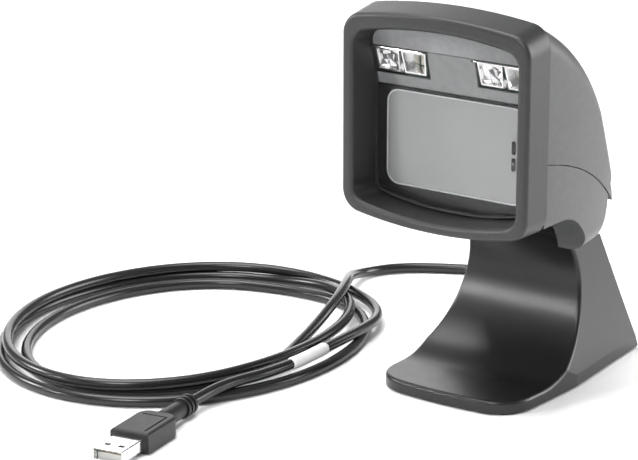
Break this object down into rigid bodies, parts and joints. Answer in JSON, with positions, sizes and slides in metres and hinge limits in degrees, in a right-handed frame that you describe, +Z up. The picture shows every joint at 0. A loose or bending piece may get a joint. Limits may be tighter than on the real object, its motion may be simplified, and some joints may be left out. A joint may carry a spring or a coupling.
{
  "type": "presentation barcode scanner",
  "caption": "Hands-free presentation barcode scanner: a window head that tilts on a sculpted stand, with a coiled USB cord.",
  "frame": {"origin": "middle of the scanner's footprint, on the surface that it stands on", "axes": "+Z up, the window looks along -Y, +X to the right of someone who faces the window"},
  "size_m": [0.2341, 0.2746, 0.1492],
  "materials": {
    "bezel_plastic": "fine-textured satin",
    "housing_plastic": "fine-textured satin",
    "stand_plastic": "fine-textured satin",
    "black_plastic": "smooth matt",
    "mask_black": "printed gloss black",
    "window_glass": "clear coated",
    "panel_grey": "satin",
    "panel_light": "satin",
    "reflector_chrome": "bright",
    "board_green": "solder mask",
    "chip_black": "moulded",
    "led_body": "clear cap",
    "front_mirror": "front silvered",
    "lens_glass": "coated",
    "steel": "plated",
    "bearing_plastic": "natural",
    "ballast_iron": "raw",
    "foot_rubber": "matt",
    "cord_jacket": "smooth",
    "plug_plastic": "satin",
    "plug_steel": "plated",
    "tongue_plastic": "moulded",
    "contact_gold": "plated",
    "label_white": "printed film"
  },
  "bodies": {
    "stand": {"hinge_bush_right": "bearing_plastic", "hinge_bush_left": "bearing_plastic", "thrust_washers": "bearing_plastic", "friction_clip": "steel", "stand_shell": "stand_plastic", "stand_back_cover": "black_plastic", "base_plate": "black_plastic", "rubber_feet": "foot_rubber", "ballast_weight": "ballast_iron", "base_screws": "steel", "inner_lead": "cord_jacket", "cord_strain_relief": "plug_plastic", "lead_clamp": "black_plastic", "cord_tail": "cord_jacket", "cord_lead": "cord_jacket", "cord_coil": "cord_jacket", "cord_label": "label_white", "plug_strain_relief": "plug_plastic", "plug_overmould": "plug_plastic", "plug_shell": "plug_steel", "plug_tongue": "tongue_plastic", "plug_contacts": "contact_gold"},
    "head": {"front_bezel": "bezel_plastic", "rear_housing": "housing_plastic", "lower_cover": "housing_plastic", "scan_window": "window_glass", "window_mask": "mask_black", "reflector_panel": "panel_grey", "upper_panel": "panel_light", "reflector_right": "reflector_chrome", "reflector_left": "reflector_chrome", "led_board": "board_green", "led_emitters": "led_body", "optics_frame": "black_plastic", "optics_chamber": "panel_light", "fold_mirror": "front_mirror", "head_screws": "steel", "imager_module": "chip_black", "imager_lens": "lens_glass", "main_board": "board_green", "board_chips": "chip_black", "board_connector": "tongue_plastic", "beeper": "chip_black", "board_posts": "steel", "hinge_pin": "steel", "pin_retainers": "steel", "head_lead": "cord_jacket"}
  },
  "joints": [
    {"name": "head_tilt", "type": "hinge", "parent": "stand", "child": "head", "pos_m": [0, 0.006, 0.068], "axis": [1, 0, 0], "range_deg": [-20, 20]}
  ]
}
